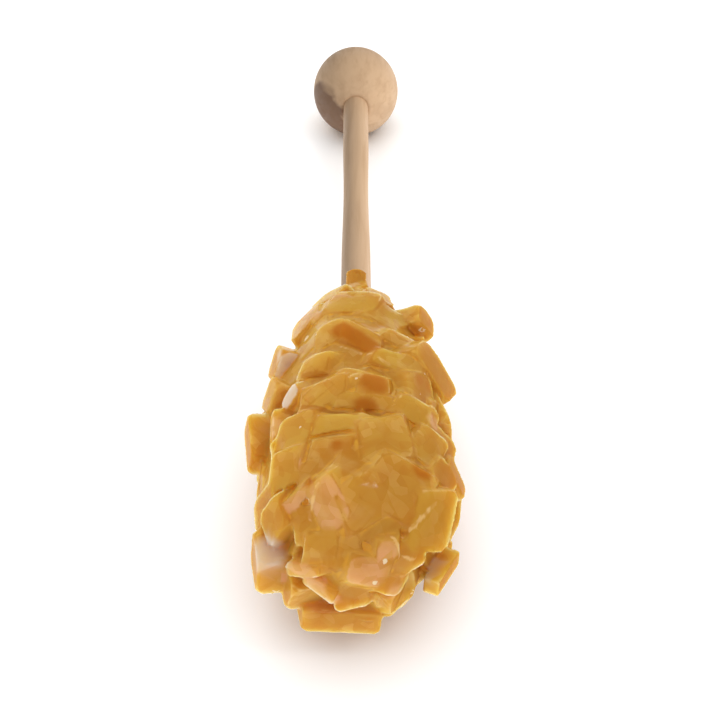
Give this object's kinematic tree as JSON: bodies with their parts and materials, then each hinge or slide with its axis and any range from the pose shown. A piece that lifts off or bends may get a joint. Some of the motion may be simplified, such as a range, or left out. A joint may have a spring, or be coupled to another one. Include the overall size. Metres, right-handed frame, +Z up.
{
  "type": "rock candy stick",
  "caption": "Rock candy on a slim wooden dowel with a ball at its end: a long cluster of blocky amber sugar crystals, lying on its side.",
  "frame": {"origin": "under the middle of the whole stick's box, on the surface it lies on", "axes": "+Z up, +Y along the stick towards the ball, -Y towards the candy's tip, +X to the right as seen from the tip"},
  "size_m": [0.028, 0.1312, 0.0268],
  "materials": {
    "sugar": "cloudy amber sugar with glossy, slightly melted faces",
    "dowel_wood": "bare pale wood, fine grain",
    "ball_wood": "bare pale wood, turned smooth"
  },
  "bodies": {
    "root": {"candy": "sugar", "dowel": "dowel_wood", "ball": "ball_wood"}
  },
  "joints": []
}
